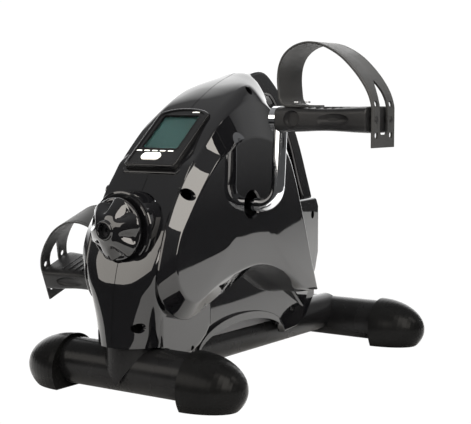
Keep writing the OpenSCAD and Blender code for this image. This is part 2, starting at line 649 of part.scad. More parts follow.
window = [45, 50, 27, -1.5]; // display window: width, height, lower edge, offset of its middle
button = [24, 10.4, -4.5, 14.5]; // button: width, height, middle across and up the slope

module console_housing() color(black) at_console() difference() {
    union() {
        translate([0, 0, -console_depth + 2.2]) linear_extrude(console_depth + 3.8) polygon(case_outline(0));
        translate([0, 0, 6]) linear_extrude(2) polygon(case_outline(2));
    }
    translate([0, 0, -console_depth]) linear_extrude(console_depth + 5.6) polygon(case_outline(2.2));
    translate([window[3] - window[0] / 2, window[2], 0]) cube([window[0], window[1], 20]);
    translate([0, 0, -e]) button_prism(0.3, 20);
}
// Round-ended prism of the button, larger than the button by gap on every side.
module button_prism(gap, h) translate([button[2], button[3], 0]) {
    half = (button[0] - button[1]) / 2;
    for (x = [-half, half]) translate([x, 0, 0]) cylinder(r = button[1] / 2 + gap, h = h);
    translate([-half, -button[1] / 2 - gap, 0]) cube([2 * half, button[1] + 2 * gap, h]);
}
module console_back() color(black) at_console() difference() {
    translate([0, 0, -console_depth]) linear_extrude(2.2) polygon(case_outline(0));
    translate([-14, 14, -console_depth - 1]) cube([28, 50, 5]);
    for (p = console_screw_at) translate([p[0], p[1], -20]) cylinder(r = 1.6, h = 20);
}
module battery_door() color(black) at_console()
    translate([-13.8, 14.2, -console_depth]) cube([27.6, 49.6, 2]);
module battery() color([0.75, 0.6, 0.2]) at_console() {
    translate([0, 17, -console_depth + 7.6]) rotate([-90, 0, 0]) cylinder(r = 5.2, h = 42);
    translate([0, 59, -console_depth + 7.6]) rotate([-90, 0, 0]) cylinder(r = 2, h = 1.5);
}
module circuit_board() color([0.1, 0.35, 0.2]) at_console() difference() {
    translate([-28, 5, -0.8]) cube([56, 72, 1.4]);
    for (x = [-26, 26]) translate([x, 8, -2]) cylinder(r = 1.2, h = 4);
}
module display_panel() color([0.33, 0.42, 0.40]) at_console() translate([-26, 25, 0.8]) cube([49, 54, 2.6]);
module display_lens() color([0.7, 0.8, 0.8, 0.35]) at_console()
    translate([-25.4, 25.6, 3.8]) cube([47.8, 52.8, 1.6]);
module mode_button() color([0.9, 0.9, 0.88]) at_console() translate([0, 0, 3]) button_prism(0, 5.2);
console_screw_at = [[-24, 9], [24, 9], [-24, 70], [24, 70]];
module console_screws() color(steel) at_console() for (p = console_screw_at)
    translate([p[0], p[1], -console_depth - 1.6]) {
        cylinder(r = 2.8, h = 1.6, $fn = 24);
        cylinder(r = 1.5, h = 5, $fn = 24);
    }

// Reed switch on the frame, facing the pulley magnet's circle, and its lead.
module speed_sensor() color([0.12, 0.12, 0.12])
    translate([plate_x + plate_t, crank_y - 5, 145]) cube([10.4, 10, 10]);
module sensor_lead() color([0.1, 0.1, 0.1]) sweep(bezier([23, -68.5, 144], [23, -110, 144],
    [16, -135, 190], [16, -126, 227.5], 14), 1.3, 8);

// ---- assembly --------------------------------------------------------------

stabiliser(front_y);  // front_stabiliser
stabiliser(rear_y);  // rear_stabiliser
mirror([1, 0, 0]) cap(front_y);  // front_left_cap
cap(front_y);  // front_right_cap
mirror([1, 0, 0]) cap(rear_y);  // rear_left_cap
cap(rear_y);  // rear_right_cap
spine_tube();
front_post();
mirror([1, 0, 0]) plate();  // left_plate
plate();  // right_plate
crank_housing();
crank_bearings();
flywheel_bearings();
rear_bolts();
cap_screws();
side_screws();
spring_post();
right_shell();
left_shell();
shell_screws();
crank();
drive_pulley();
pulley_magnet();
drive_belt();
flywheel();
flywheel_axle();
flywheel_pulley();
axle_nuts();
idler_roller();
idler_bolt();
brake_bracket();
brake_magnets();
brake_pin();
brake_spring();
brake_cable();
tension_knob();
knob_screw();
tension_spindle();
spindle_bracket();
console_housing();
console_back();
display_panel();
display_lens();
circuit_board();
mode_button();
battery();
battery_door();
console_screws();
speed_sensor();
sensor_lead();
at_right() pedal();  // right_pedal
at_left() pedal();  // left_pedal
at_right() spindle();  // right_spindle
at_left() spindle();  // left_spindle
at_right() strap();  // right_strap
at_left() strap();  // left_strap
at_right() bushes();  // right_pedal_bushes
at_left() bushes();  // left_pedal_bushes
at_right() pedal_screws();  // right_pedal_screws
at_left() pedal_screws();  // left_pedal_screws
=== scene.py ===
"""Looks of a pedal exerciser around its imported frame.

Lengths are in millimetres and become metres where a mesh is made.
+X is the user's right, -Y faces the user, +Z is up.
"""
import json
import math

import bmesh
import bpy
from mathutils import Matrix, Vector


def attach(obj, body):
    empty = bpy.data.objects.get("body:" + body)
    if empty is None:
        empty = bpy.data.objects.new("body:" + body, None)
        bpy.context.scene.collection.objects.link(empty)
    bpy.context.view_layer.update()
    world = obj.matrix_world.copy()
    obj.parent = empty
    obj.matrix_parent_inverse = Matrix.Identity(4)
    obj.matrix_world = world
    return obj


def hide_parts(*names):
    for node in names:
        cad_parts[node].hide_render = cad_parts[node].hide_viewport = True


MM = 0.001
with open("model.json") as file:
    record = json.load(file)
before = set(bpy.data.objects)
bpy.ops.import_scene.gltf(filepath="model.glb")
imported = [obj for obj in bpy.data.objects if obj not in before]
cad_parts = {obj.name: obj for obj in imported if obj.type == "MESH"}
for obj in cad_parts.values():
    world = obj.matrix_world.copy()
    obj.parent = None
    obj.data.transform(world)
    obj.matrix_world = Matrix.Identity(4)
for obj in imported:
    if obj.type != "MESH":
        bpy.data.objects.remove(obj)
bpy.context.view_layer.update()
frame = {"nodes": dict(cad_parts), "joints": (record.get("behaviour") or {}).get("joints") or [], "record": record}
joint_at = {j["name"]: Vector(j["pos_m"]) / MM for j in frame["joints"] if "pos_m" in j}

CRANK = joint_at["crank_spin"]
RIGHT_PEDAL = joint_at["right_pedal_spin"]
LEFT_PEDAL = joint_at["left_pedal_spin"]
LEFT_TILT = math.radians(20)
KNOB_Z = joint_at["tension_knob_turn"].z

# ---- camera ------------------------------------------------------------------

# The view of the photo: place, direction from the target to the camera, focal length.
CAMERA_AT = (748.9, -1094.3, 288.7)
CAMERA_BACK = (0.5644, -0.8207, 0.0890)
LENS_MM, SENSOR_MM = 91.34, 36


def camera():
    data = bpy.data.cameras.new("camera")
    data.lens = LENS_MM
    data.sensor_width = SENSOR_MM
    obj = bpy.data.objects.new("camera", data)
    back = Vector(CAMERA_BACK).normalized()
    right = Vector((0, 0, 1)).cross(back).normalized()
    turn = Matrix((right, back.cross(right), back)).transposed()
    obj.matrix_world = Matrix.Translation(Vector(CAMERA_AT) * MM) @ turn.to_4x4()
    bpy.context.scene.collection.objects.link(obj)
    bpy.context.scene.camera = obj


camera()

# ---- mesh helpers --------------------------------------------------------------

AXIS_X, AXIS_Y = (1, 0, 0), (0, 1, 0)
BEVEL_FROM = math.radians(40)       # edges turning less than this stay as they are


def make(name, points, faces):
    """A mesh object from points in millimetres, its faces turned outwards."""
    mesh = bpy.data.meshes.new(name)
    mesh.from_pydata([Vector(p) * MM for p in points], [], faces)
    work = bmesh.new()
    work.from_mesh(mesh)
    bmesh.ops.recalc_face_normals(work, faces=work.faces)
    work.to_mesh(mesh)
    work.free()
    obj = bpy.data.objects.new(name, mesh)
    bpy.context.scene.collection.objects.link(obj)
    return obj


def loft(name, rings):
    """Joins rings of equal length by quads and caps the two end rings."""
    n, m = len(rings[0]), len(rings)
    faces = [(k * n + i, k * n + (i + 1) % n, (k + 1) * n + (i + 1) % n, (k + 1) * n + i)
             for k in range(m - 1) for i in range(n)]
    faces += [tuple(range(n - 1, -1, -1)), tuple(range((m - 1) * n, m * n))]
    return make(name, [p for ring in rings for p in ring], faces)


def lathe(name, profile, axis, at, turns=72, radius=None):
    """Turns a profile of (distance along the axis, radius) about an axis through a point.

    The function radius, of the angle and the distance, scales the profile where it is given.
    """
    along = Vector(axis).normalized()
    side = along.orthogonal().normalized()
    up = along.cross(side)
    rings = []
    for d, r in profile:
        ring = []
        for i in range(turns):
            a = 2 * math.pi * i / turns
            q = r * (radius(a, d) if radius else 1)
            ring.append(Vector(at) + along * d + (side * math.cos(a) + up * math.sin(a)) * q)
        rings.append(ring)
    return loft(name, rings)


def rod(name, radius, start, end, turns=48):
    """A straight cylinder used as a cutter or as part of a larger piece."""
    start, end = Vector(start), Vector(end)
    return lathe(name, [(0, radius), ((end - start).length, radius)], end - start, start, turns)


def signed_area(points):
    return sum(p[0] * q[1] - q[0] * p[1] for p, q in zip(points, points[1:] + points[:1])) / 2


def inset(points, d):
    """Moves every corner of a closed outline inwards by d."""
    turn = 1 if signed_area(points) > 0 else -1
    out = []
    for i, point in enumerate(points):
        p = Vector(point)
        a = (p - Vector(points[i - 1])).normalized()
        b = (Vector(points[(i + 1) % len(points)]) - p).normalized()
        na, nb = Vector((-a.y, a.x)) * turn, Vector((-b.y, b.x)) * turn
        m = (na + nb).normalized()
        out.append(tuple(p + m * d / max(0.5, m.dot(nb))))
    return out


def smooth(points, steps, corners=(), closed=True):
    """Catmull-Rom curve through the points; the places in corners stay sharp."""
    n = len(points)
    curve = [Vector(p) for p in points]

    def tangent(i, near, far):
        before, after = curve[(i - 1) % n], curve[(i + 1) % n]
        if i in corners or (not closed and i in (0, n - 1)):
            return far - near
        span = (curve[i] - before).length + (after - curve[i]).length
        return (after - before) * ((far - near).length / span)

    out = []
    for i in range(n if closed else n - 1):
        p, q = curve[i], curve[(i + 1) % n]
        tp, tq = tangent(i, p, q), tangent((i + 1) % n, p, q)
        for k in range(steps):
            t = k / steps
            out.append(p * (2 * t**3 - 3 * t**2 + 1) + tp * (t**3 - 2 * t**2 + t)
                       + q * (3 * t**2 - 2 * t**3) + tq * (t**3 - t**2))
    if not closed:
        out.append(curve[-1])
    return [tuple(p) for p in out]


def smooth_step(value, low, high):
    """Rises from 0 at low to 1 at high, level at both ends."""
    t = max(0.0, min(1.0, (value - low) / (high - low)))
    return t * t * (3 - 2 * t)


def mix(a, b, t):
    """Outline or ring between two others with the same number of points."""
    return [tuple(u + (v - u) * t for u, v in zip(p, q)) for p, q in zip(a, b)]


def round_ring(before, corner, after, radius, steps=4):
    """Rings that round the corner ring of a loft between its neighbours.

    The radius is a number, or a function of the point; it reaches at most 0.45 of either side.
    """
    rings = [[] for _ in range(steps + 1)]
    for a, c, b in zip(before, corner, after):
        a, c, b = Vector(a), Vector(c), Vector(b)
        r = radius(c) if callable(radius) else radius
        p = c + (a - c) * min(0.45, r / max(1e-6, (a - c).length))
        q = c + (b - c) * min(0.45, r / max(1e-6, (b - c).length))
        for k in range(steps + 1):
            t = k / steps
            rings[k].append(tuple(p * (1 - t)**2 + c * 2 * t * (1 - t) + q * t**2))
    return rings


def evaluated(obj):
    """Applies the object's modifiers."""
    graph = bpy.context.evaluated_depsgraph_get()
    mesh = bpy.data.meshes.new_from_object(obj.evaluated_get(graph))
    obj.modifiers.clear()
    obj.data = mesh
    return obj


def bevel(obj, width, segments=3):
    mod = obj.modifiers.new("bevel", "BEVEL")
    mod.width, mod.segments, mod.angle_limit = width * MM, segments, BEVEL_FROM
    mod.limit_method = "ANGLE"
    return evaluated(obj)


def slab(name, outline, x0, x1, edge=0.0, segments=3):
    """A solid drawn in the YZ plane and spanning x0 to x1, its edges rounded."""
    obj = loft(name, [[(x, y, z) for y, z in outline] for x in (x0, x1)])
    return bevel(obj, edge, segments) if edge else obj


def combine(obj, others, operation):
    """Boolean of one object with several others, which are used up."""
    group = bpy.data.collections.new("operands")
    group = bpy.data.collections.new("cutters")
    for other in others:
        group.objects.link(other)
    mod = obj.modifiers.new("boolean", "BOOLEAN")
    mod.operation, mod.solver, mod.operand_type = operation, "EXACT", "COLLECTION"
    mod.collection = group
    evaluated(obj)
    for other in others:
        bpy.data.objects.remove(other)
    bpy.data.collections.remove(group)
    return obj


def cut(obj, *cutters):
    return combine(obj, cutters, "DIFFERENCE")


def join(obj, *others):
    return combine(obj, others, "UNION")


def twin(obj, name):
    copy = obj.copy()
    copy.data = obj.data.copy()
    copy.name = name
    bpy.context.scene.collection.objects.link(copy)
    return copy


def transform(obj, matrix):
    """Moves the mesh itself, with a matrix in millimetres."""
    scale = Matrix.Diagonal((MM, MM, MM, 1))
    obj.data.transform(scale @ matrix @ scale.inverted())
    if matrix.determinant() < 0:
        obj.data.flip_normals()
    return obj


def finish_piece(obj, body, nodes, slot, sharp=32):
    """Shades a piece, gives it its slot's material and ties it to the frame."""
    mesh = obj.data
    mesh.shade_smooth()
    mesh.set_sharp_from_angle(angle=math.radians(sharp))
    mod = obj.modifiers.new("even_shading", "WEIGHTED_NORMAL")
    mod.keep_sharp = True
    mod.weight = 80
    mesh.materials.clear()
    mesh.materials.append(MATERIALS[slot])
    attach(obj, body)
    if nodes:
        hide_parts(*nodes)


# ---- materials -------------------------------------------------------------------


def new_material(name, color, roughness, metallic=0.0, ior=1.5, specular=0.5):
    """A principled material; returns it with its tree, shader and object coordinates."""
    mat = bpy.data.materials.new(name)
    mat.use_nodes = True
    tree = mat.node_tree
    shader = tree.nodes["Principled BSDF"]
    shader.inputs["Base Color"].default_value = (*color, 1)
    shader.inputs["Roughness"].default_value = roughness
    shader.inputs["Metallic"].default_value = metallic
    shader.inputs["IOR"].default_value = ior
    shader.inputs["Specular IOR Level"].default_value = specular
    where = tree.nodes.new("ShaderNodeTexCoord").outputs["Object"]
    return mat, tree, shader, where


def noise(tree, where, scale, detail=2.0, roughness=0.5, stretch=None):
    node = tree.nodes.new("ShaderNodeTexNoise")
    node.inputs["Scale"].default_value = scale
    node.inputs["Detail"].default_value = detail
    node.inputs["Roughness"].default_value = roughness
    if stretch:
        mapping = tree.nodes.new("ShaderNodeMapping")
        mapping.inputs["Scale"].default_value = stretch
        tree.links.new(where, mapping.inputs["Vector"])
        where = mapping.outputs["Vector"]
    tree.links.new(where, node.inputs["Vector"])
    return node.outputs["Fac"]


def spread(tree, value, low, high, start=0.3, end=0.7):
    """Maps a noise value onto a range of the wanted size."""
    node = tree.nodes.new("ShaderNodeMapRange")
    for key, number in zip(("From Min", "From Max", "To Min", "To Max"), (start, end, low, high)):
        node.inputs[key].default_value = number
    tree.links.new(value, node.inputs["Value"])
    return node.outputs["Result"]


def blend_color(tree, factor, first, second):
    """Goes from the first colour to the second as the factor goes from 0 to 1."""
    node = tree.nodes.new("ShaderNodeMix")
    node.data_type = "RGBA"
    node.inputs["A"].default_value = (*first, 1)
    node.inputs["B"].default_value = (*second, 1)
    tree.links.new(factor, node.inputs["Factor"])
    return node.outputs["Result"]


def bump(tree, shader, height, strength, distance):
    node = tree.nodes.new("ShaderNodeBump")
    node.inputs["Strength"].default_value = strength
    node.inputs["Distance"].default_value = distance
    tree.links.new(height, node.inputs["Height"])
    tree.links.new(node.outputs["Normal"], shader.inputs["Normal"])


def mottle(tree, shader, tone, first, second):
    """Varies the base colour between two close tones."""
    tree.links.new(blend_color(tree, spread(tree, tone, 0, 1), first, second),
                   shader.inputs["Base Color"])


def gloss_plastic():
    """Piano-black moulding: nearly a mirror, with faint flow waves and dust-fine haze."""
    mat, tree, shader, where = new_material("shell_gloss", (0.003, 0.003, 0.0035), 0.02)
    haze = noise(tree, where, 14, 3, 0.6)
    tree.links.new(spread(tree, haze, 0.012, 0.035), shader.inputs["Roughness"])
    bump(tree, shader, noise(tree, where, 26, 1), 0.03, 0.0006)
    return mat


def satin_paint(name, color, low, high, grain=900, strength=0.12, specular=0.5):
    """Powder-coated or rubbery surface with a fine grain."""
    mat, tree, shader, where = new_material(name, color, low, specular=specular)
    tone = noise(tree, where, 18, 4, 0.6)
    paler = tuple(c * 1.5 + 0.002 for c in color)
    mottle(tree, shader, tone, color, paler)
    tree.links.new(spread(tree, tone, low, high), shader.inputs["Roughness"])
    bump(tree, shader, noise(tree, where, grain, 3, 0.6), strength, 0.0002)
    return mat


def bright_metal(name, color, low, high, brushed=None, strength=0.02):
    """Plated or turned metal, brushed along the given stretch of the grain."""
    mat, tree, shader, where = new_material(name, color, low, metallic=1.0)
    wear = noise(tree, where, 40, 4, 0.65)
    tree.links.new(spread(tree, wear, low, high), shader.inputs["Roughness"])
    darker = tuple(c * 0.82 for c in color)
    mottle(tree, shader, wear, color, darker)
    bump(tree, shader, noise(tree, where, 60, 3, 0.5, brushed), strength, 0.0003)
    return mat


def pedal_plastic():
    """Matt black tread plastic with a spark-eroded grain."""
    mat, tree, shader, where = new_material("pedal_plastic", (0.008, 0.008, 0.0085), 0.42,
                                            specular=0.18)
    cells = tree.nodes.new("ShaderNodeTexVoronoi")
    cells.inputs["Scale"].default_value = 900
    tree.links.new(where, cells.inputs["Vector"])
    tone = noise(tree, where, 25, 3, 0.6)
    tree.links.new(spread(tree, tone, 0.34, 0.5), shader.inputs["Roughness"])
    mottle(tree, shader, tone, (0.007, 0.007, 0.0075), (0.012, 0.012, 0.0125))
    bump(tree, shader, cells.outputs["Distance"], 0.25, 0.0002)
    return mat


def strap_rubber():
    """Dark grey rubber with a dull skin and a faint lengthwise grain."""
    mat, tree, shader, where = new_material("strap_rubber", (0.02, 0.02, 0.02), 0.55,
                                            specular=0.22)
    tone = noise(tree, where, 30, 4, 0.6)
    mottle(tree, shader, tone, (0.015, 0.015, 0.0153), (0.025, 0.025, 0.0246))
    tree.links.new(spread(tree, tone, 0.42, 0.62), shader.inputs["Roughness"])
    shader.inputs["Sheen Weight"].default_value = 0.06
    shader.inputs["Sheen Roughness"].default_value = 0.4
    bump(tree, shader, noise(tree, where, 700, 3, 0.6), 0.15, 0.0002)
    return mat


def display_glass():
    """Grey-green LCD with a very faint ghost of its unlit cells."""
    mat, tree, shader, where = new_material("display_glass", (0.014, 0.044, 0.042), 0.3,
                                            specular=0.1)
    cells = tree.nodes.new("ShaderNodeTexChecker")
    cells.inputs["Scale"].default_value = 900
    cells.inputs["Color1"].default_value = (0.0145, 0.0445, 0.0425, 1)
    cells.inputs["Color2"].default_value = (0.0135, 0.0425, 0.0405, 1)
    tree.links.new(where, cells.inputs["Vector"])
    tree.links.new(cells.outputs["Color"], shader.inputs["Base Color"])
    tree.links.new(spread(tree, noise(tree, where, 900), 0.28, 0.32), shader.inputs["Roughness"])
    return mat


def clear_lens():
    mat, tree, shader, where = new_material("clear_lens", (1, 1, 1), 0.03, ior=1.2)
    shader.inputs["Transmission Weight"].default_value = 1.0
    tree.links.new(spread(tree, noise(tree, where, 30), 0.02, 0.03), shader.inputs["Roughness"])
    return mat


def circuit_green():
    mat, tree, shader, where = new_material("board_green", (0.02, 0.10, 0.05), 0.35)
    wave = tree.nodes.new("ShaderNodeTexWave")
    wave.inputs["Scale"].default_value = 260
    wave.inputs["Distortion"].default_value = 3
    tree.links.new(where, wave.inputs["Vector"])
    tree.links.new(blend_color(tree, wave.outputs["Fac"], (0.015, 0.09, 0.04), (0.03, 0.16, 0.08)),
                   shader.inputs["Base Color"])
    bump(tree, shader, wave.outputs["Fac"], 0.1, 0.0001)
    return mat


# One material for each slot of the record.
MATERIALS = {
    "shell_gloss": gloss_plastic(),
    "frame_paint": satin_paint("frame_paint", (0.003, 0.003, 0.0032), 0.22, 0.3, specular=0.09),
    "cap_rubber": satin_paint("cap_rubber", (0.002, 0.002, 0.002), 0.24, 0.3, 1100, 0.1, 0.05),
    "bracket_paint": satin_paint("bracket_paint", (0.05, 0.05, 0.052), 0.4, 0.55),
    "plated_steel": bright_metal("plated_steel", (0.55, 0.56, 0.58), 0.24, 0.42, strength=0.05),
    "black_screw": bright_metal("black_screw", (0.05, 0.05, 0.055), 0.3, 0.45, strength=0.05),
    "crank_chrome": bright_metal("crank_chrome", (0.62, 0.63, 0.65), 0.03, 0.07),
    "pulley_plastic": satin_paint("pulley_plastic", (0.03, 0.03, 0.032), 0.4, 0.5),
    "belt_rubber": satin_paint("belt_rubber", (0.02, 0.02, 0.02), 0.6, 0.75, 600, 0.25),
    "flywheel_iron": bright_metal("flywheel_iron", (0.42, 0.42, 0.43), 0.3, 0.5, (1, 8, 8), 0.08),
    "turned_aluminium": bright_metal("turned_aluminium", (0.7, 0.71, 0.73), 0.22, 0.36,
                                     (14, 1, 1), 0.06),
    "cream_nylon": satin_paint("cream_nylon", (0.5, 0.47, 0.38), 0.4, 0.5),
    "magnet_black": satin_paint("magnet_black", (0.03, 0.03, 0.035), 0.3, 0.45),
    "console_plastic": satin_paint("console_plastic", (0.003, 0.003, 0.0033), 0.2, 0.28,
                                   1300, 0.06, 0.25),
    "display_glass": display_glass(),
    "clear_lens": clear_lens(),
    "board_green": circuit_green(),
    "button_white": satin_paint("button_white", (0.78, 0.77, 0.72), 0.22, 0.3, 1200, 0.04),
    "battery_gold": bright_metal("battery_gold", (0.72, 0.5, 0.18), 0.25, 0.4),
    "pedal_plastic": pedal_plastic(),
    "strap_rubber": strap_rubber(),
}

# ---- shell -----------------------------------------------------------------------

WALL = 3
GROOVE = 0.5           # depth of the chamfer along the parting line
PARTING = 0.15         # gap between the halves, from the centre plane
INSIDE = -3            # forms of a half start here, beyond the centre plane

# Side outlines (y, z) at four distances from the centre plane, point matched to point: the
# crest in the middle, the shoulder, the crease where the bevelled band starts, the side panel.
SHOULDER_X, BAND_X, PANEL_X = 35, 46, 60
CREST = [(-150, 77), (-168, 80), (-184, 92), (-193, 107), (-197, 124), (-192, 147),
         (-182, 174), (-156, 213), (-137, 238), (-95, 280), (-53, 306), (-20, 319.5),
         (4, 324), (16, 296), (22, 250), (35, 193), (57, 132), (77, 77), (46, 79), (26, 91),
         (5, 103), (-18, 112), (-43, 116), (-62, 108), (-92, 97), (-120, 87)]
SHOULDER = [(-150, 77), (-170, 80), (-186, 92), (-196, 107), (-200, 124), (-195, 147),
            (-185, 174), (-158, 215), (-136, 240), (-100, 275.5), (-62, 299.5), (-30, 310),
            (0, 298), (14, 274), (21, 248), (35, 193), (57, 132), (77, 77), (46, 79), (26, 91),
            (5, 103), (-18, 112), (-43, 116), (-62, 108), (-92, 97), (-120, 87)]
BAND = [(-150, 77), (-171, 80), (-190, 92), (-201, 107), (-204, 124), (-199, 147),
        (-189, 174), (-161, 215), (-131, 246), (-98, 273), (-64, 289), (-32, 292),
        (-4, 284), (12, 266), (21, 244), (35, 193), (57, 132), (77, 77), (46, 79), (26, 91),
        (5, 103), (-18, 112), (-43, 116), (-62, 108), (-92, 97), (-120, 87)]
PANEL = [(-156, 96), (-169, 98), (-181, 107), (-189, 121), (-191, 142), (-187, 157),
         (-180, 169), (-141, 215), (-116, 236), (-88, 250), (-60, 256), (-32, 253),
         (-8, 245), (8, 234), (18, 222), (33, 190), (55, 132), (75, 79), (46, 83), (26, 95),
         (5, 107), (-18, 116), (-43, 121), (-66, 121), (-103, 115), (-126, 108)]
REAR_CORNER = 17       # index of the one outline point that stays sharp
CREST_POWER = 2.6      # how flat the crest is across the middle
CREST_XS = (4, 8, 12, 16, 20, 24, 27, 30, 33, 35, 37, 39, 41, 43)
BAND_MIDDLE_X = 53     # half way across the bevelled band
CROWN = 1.6            # how far the side panel bows outwards
HUB_R = 15             # round opening of the crank in the panel

# Screws that hold the halves together: y, z, reach of the boss in x, head radius.
SCREWS = [(-163, 202, 49.6, 6), (-38, 304, 32, 4.2), (-208.2, 74, 19.4, 5), (116, 160, 26.4, 4.6)]
SCREW_R = 2.1
SIDE_SCREW = (67, 55)
SPINE_R, SPINE_Z = 21, 33
FRONT_Y, FRONT_Z, FRONT_R = -185, 27, 24.8      # room for the front cross tube
SADDLE_R = 28.5                                 # room for the tube's saddle
CONSOLE_AT, CONSOLE_SLOPE = Vector((0, -156, 223)), math.radians(40)


def body_outline(x):
    """Side outline of the body at a distance x from the centre plane; no kink at the shoulder."""
    if x <= SHOULDER_X:
        return mix(CREST, SHOULDER, (max(0, x) / SHOULDER_X)**CREST_POWER)
    if x <= BAND_X:
        depth = BAND_X - SHOULDER_X
        u = (x - SHOULDER_X) / depth
        lead = CREST_POWER * depth / SHOULDER_X * (u - u * u)
        eased = mix(SHOULDER, BAND, u * u)
        return [(p[0] + lead * (s[0] - c[0]), p[1] + lead * (s[1] - c[1]))
                for p, s, c in zip(eased, SHOULDER, CREST)]
    return mix(BAND, PANEL, (x - BAND_X) / (PANEL_X - BAND_X))


def side_ring(x, outline, d=0.0, steps=5):
    curve = smooth(outline, steps, (REAR_CORNER,))
    return [(x, y, z) for y, z in (inset(curve, d) if d else curve)]


def body_skin():
    """Outer form of the body: crest, shoulder, bevelled band and crowned side panel."""
    rings = [side_ring(INSIDE, CREST, GROOVE), side_ring(PARTING, CREST, GROOVE),
             side_ring(0.4, CREST)]
    rings += [side_ring(x, body_outline(x)) for x in CREST_XS]
    edge, middle, rim = (side_ring(x, body_outline(x)) for x in (BAND_X, BAND_MIDDLE_X, PANEL_X))
    hub = []
    for x, y, z in rim:
        way = Vector((y - CRANK.y, z - CRANK.z)).normalized() * HUB_R
        hub.append((x, CRANK.y + way.x, CRANK.z + way.y))
    face = []
    for s in (0.04, 0.1, 0.18, 0.3, 0.45, 0.62, 0.8, 1.0):
        lift = CROWN * (1 - (1 - s)**2)
        face.append([(x + lift, y, z) for x, y, z in mix(rim, hub, s)])
    rings += round_ring(rings[-1], edge, middle, 2.2)
    rings.append(middle)
    # The panel's edge is rounder at the rear than at the front.
    rings += round_ring(middle, rim, face[1], lambda p: 2 + 4 * smooth_step(p.y, 0, 30), 6)
    rings += face[1:]
    return loft("body_skin", rings)


def body_room():
    """Hollow of the body, a wall's thickness inside its skin."""
    rings = [side_ring(x, CREST, WALL, 2) for x in (INSIDE, 0)]
    rings += [side_ring(x - 2, body_outline(x), WALL, 2)
              for x in (18, 27, SHOULDER_X, BAND_X, BAND_MIDDLE_X)]
    rings.append(side_ring(PANEL_X - WALL, PANEL, WALL + 1.6, 2))
    return loft("body_room", rings)


# Height, half width, front y, depth of the rounded corner, squareness.
NECK = [(53.6, 35, -219, 35, 2), (76, 37, -217.5, 34, 2.2), (100, 41, -215.2, 31, 2.9),
        (118, 44.4, -212.3, 27, 4.2), (137, 46, -206.8, 20, 5.6), (155, 46, -198, 14, 7),
        (175, 46, -188, 8, 9), (228, 46, -152.5, 7, 9), (240, 44, -137, 7, 9)]
NECK_BACK, NECK_ARC = -128, 24


def neck(d=0.0, steps=6):
    """The front column, from the round foot of the shell up to the display unit."""
    rings = []
    levels = smooth(NECK, steps, closed=False)
    if d:       # the hollow starts below the foot and ends short of the top
        levels = [(40, *levels[0][1:])] + levels[:-steps]
    for z, w, f, depth, q in levels:
        w, f = w - d, f + d
        arc = []
        for i in range(NECK_ARC + 1):
            a = math.pi / 2 * i / NECK_ARC
            c, v = math.cos(a)**(2 / q), math.sin(a)**(2 / q)
            arc.append((max(w * c, 0.4), f + depth * (1 - v), z))
        front = f + (0 if d else GROOVE)
        rings.append([(INSIDE, NECK_BACK, z), (w, NECK_BACK, z), *arc,
                      (PARTING, front, z), (INSIDE, front, z)])
    return loft("neck", rings)


ARCH_Y, ARCH_STEPS = -39, 28


def arch_curve(half_span, foot, rise):
    """Half ellipse over the opening low in the shell's side, from front to back."""
    turns = [math.pi * i / ARCH_STEPS for i in range(ARCH_STEPS + 1)]
    return [(ARCH_Y - half_span * math.cos(a), foot + rise * math.sin(a)) for a in turns]


# Other forms of the shell as side outlines, and how far each reaches from the centre plane.
LOW_FRONT_X, LOW_REAR_X, RIM_X, REAR_BOX_X, HANDLE_X = 38, 29, 34.5, 30, 18
LOW_START = -20
LOW_FRONT = [(-190, 100), (-190, 40), (-160, 37), (-136, 38), (-122, 44), (-111, 52),
             (-102, 63), (-101, 104)]
ARCH = arch_curve(82, 31, 26)
LOW_REAR = [(-128, 140), (-128, 33), *ARCH, (76, 34), (96, 43), (118, 66), (122, 100), (122, 150)]
ARCH_RIM = arch_curve(84, 33, 33) + ARCH[::-1]
REAR_BOX = [(12, 180), (130, 180), (137, 170), (137, 114), (128, 93), (104, 66), (90, 52),
            (40, 90)]
HANDLE = [(-16, 316), (6, 324.4), (26, 325.3), (44, 315), (62, 299), (96, 254), (124, 196),
          (132, 178), (110, 177), (101, 196), (79, 246), (52, 285), (36, 299), (10, 298)]
HANDLE_CORNERS = (0, 7, 8, 13)
LEAN, LEAN_FROM_Z = 0.085, 70
TAPER, TAPER_FROM_Y = 0.157, 98


def in_console(obj):
    """Puts a piece drawn flat, +Y up and +Z out of the face, on the display unit's slope."""
    return transform(obj, Matrix.Translation(CONSOLE_AT) @ Matrix.Rotation(CONSOLE_SLOPE, 4, "X"))


CASE_W, CASE_L = 64, 90
CASE_CHAMFER = 3                            # of the lower corners
BOW_DEPTH, BOW_RISE, BOW_STEPS = 12, 11, 24


def case_outline(d, length=CASE_L):
    """Outline of the display unit with straight sides and a bowed top, moved inwards by d."""
    w, shoulder = CASE_W / 2 - d, length - d - BOW_DEPTH
    low = d + CASE_CHAMFER
    turns = [math.pi * i / BOW_STEPS for i in range(1, BOW_STEPS)]
    bow = [(w * math.cos(a), shoulder + BOW_RISE * math.sin(a)) for a in turns]
    return [(-w + CASE_CHAMFER, d), (w - CASE_CHAMFER, d), (w, low), (w, shoulder), *bow,
            (-w, shoulder), (-w, low)]


def plate(name, outline, z0, z1, edge=0.0, segments=3):
    """A solid drawn in the XY plane and spanning z0 to z1, its edges rounded."""
    obj = loft(name, [[(x, y, z) for x, y in outline] for z in (z0, z1)])
    return bevel(obj, edge, segments) if edge else obj


def block(name, low, high):
    """A box between its lowest and its highest corner."""
    (x0, y0, z0), (x1, y1, z1) = low, high
    return loft(name, [[(x0, y0, z), (x1, y0, z), (x1, y1, z), (x0, y1, z)] for z in (z0, z1)])


BOSS_FRONT, BOSS_R = -203.5, 37


def shear(obj, row, amount, start):
    """Moves a piece towards -X in proportion to its distance from start along Y (1) or Z (2)."""
    matrix = Matrix.Identity(4)
    matrix[0][row] = -amount
    matrix[0][3] = start * amount
    return transform(obj, matrix)


def lean(obj):
    """Tips the recessed wall inwards at its top."""
    return shear(obj, 2, LEAN, LEAN_FROM_Z)


